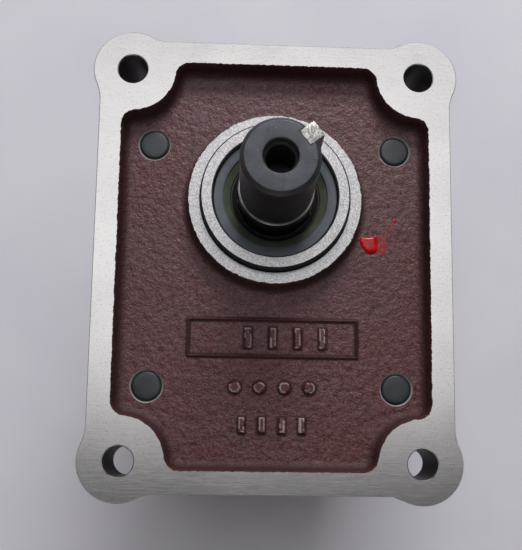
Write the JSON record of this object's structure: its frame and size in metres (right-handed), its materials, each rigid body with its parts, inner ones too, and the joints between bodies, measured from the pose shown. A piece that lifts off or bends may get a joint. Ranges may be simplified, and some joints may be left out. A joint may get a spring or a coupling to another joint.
{
  "type": "right angle bevel gearbox",
  "caption": "Right angle bevel gearbox with a rectangular mounting flange, keyed input shaft through a sealed boss, and a keyed output shaft at ninety degrees behind it.",
  "frame": {"origin": "where the input shaft's axis meets the flat rear face that the gearbox stands on", "axes": "+Z along the input shaft towards its free end, +Y along the output shaft towards its free end"},
  "size_m": [0.15, 0.2293, 0.1983],
  "materials": {
    "primed_casting": "red-brown primer over grey iron, machined bright on the rim and boss",
    "blackened_steel": "blackened, satin",
    "bright_steel": "ground bright",
    "gear_steel": "machined, oiled",
    "seal_rubber": "moulded nitrile, blue-grey and olive",
    "gasket_sheet": "fibre gasket sheet",
    "zinc_steel": "zinc plated",
    "copper_washer": "annealed copper"
  },
  "bodies": {
    "housing": {"front_housing": "primed_casting", "main_housing": "primed_casting", "rear_cover": "primed_casting", "end_cap": "primed_casting", "input_bearing_retaining_ring": "blackened_steel", "output_bearing_retaining_ring": "blackened_steel", "housing_screw_1": "blackened_steel", "housing_screw_2": "blackened_steel", "housing_screw_3": "blackened_steel", "housing_screw_4": "blackened_steel", "rear_cover_screw_1": "blackened_steel", "rear_cover_screw_2": "blackened_steel", "rear_cover_screw_3": "blackened_steel", "rear_cover_screw_4": "blackened_steel", "rear_cover_screw_5": "blackened_steel", "rear_cover_screw_6": "blackened_steel", "end_cap_screw_1": "blackened_steel", "end_cap_screw_2": "blackened_steel", "end_cap_screw_3": "blackened_steel", "end_cap_screw_4": "blackened_steel", "input_seal_spring": "bright_steel", "output_seal_spring": "bright_steel", "input_front_bearing_outer_race": "bright_steel", "input_rear_bearing_outer_race": "bright_steel", "output_drive_bearing_outer_race": "bright_steel", "output_blind_bearing_outer_race": "bright_steel", "input_outer_spacer": "gear_steel", "input_seal": "seal_rubber", "output_seal": "seal_rubber", "flange_gasket": "gasket_sheet", "rear_gasket": "gasket_sheet", "end_cap_gasket": "gasket_sheet", "filler_plug": "zinc_steel", "level_plug": "zinc_steel", "drain_plug": "zinc_steel", "filler_plug_washer": "copper_washer", "level_plug_washer": "copper_washer", "drain_plug_washer": "copper_washer"},
    "input_rotor": {"input_shaft": "blackened_steel", "input_key": "bright_steel", "bevel_pinion": "gear_steel", "pinion_key": "bright_steel", "pinion_retaining_ring": "blackened_steel", "input_front_bearing_inner_race": "bright_steel", "input_rear_bearing_inner_race": "bright_steel", "input_inner_spacer": "gear_steel"},
    "output_rotor": {"output_shaft": "blackened_steel", "output_key": "bright_steel", "crown_gear": "gear_steel", "crown_gear_key": "bright_steel", "crown_gear_spacer": "gear_steel", "output_shaft_retaining_ring": "blackened_steel", "output_drive_bearing_inner_race": "bright_steel", "output_blind_bearing_inner_race": "bright_steel"},
    "input_ball_cages": {"input_front_bearing_ball_cage": "bright_steel", "input_rear_bearing_ball_cage": "bright_steel"},
    "output_ball_cages": {"output_drive_bearing_ball_cage": "bright_steel", "output_blind_bearing_ball_cage": "bright_steel"}
  },
  "joints": [
    {"name": "output_spin", "type": "hinge", "parent": "housing", "child": "output_rotor", "pos_m": [0, 0, 0.052], "axis": [0, 1, 0], "continuous": true},
    {"name": "input_spin", "type": "hinge", "parent": "housing", "child": "input_rotor", "pos_m": [0, 0, 0], "axis": [0, 0, 1], "continuous": true},
    {"name": "output_cage_spin", "type": "hinge", "parent": "housing", "child": "output_ball_cages", "pos_m": [0, 0, 0.052], "axis": [0, 1, 0], "continuous": true},
    {"name": "input_cage_spin", "type": "hinge", "parent": "housing", "child": "input_ball_cages", "pos_m": [0, 0, 0], "axis": [0, 0, 1], "continuous": true}
  ],
  "couplings": [
    {"joint": "input_spin", "follows": "output_spin", "ratio": 1.5},
    {"joint": "output_cage_spin", "follows": "output_spin", "ratio": 0.3922},
    {"joint": "input_cage_spin", "follows": "output_spin", "ratio": 0.587}
  ]
}
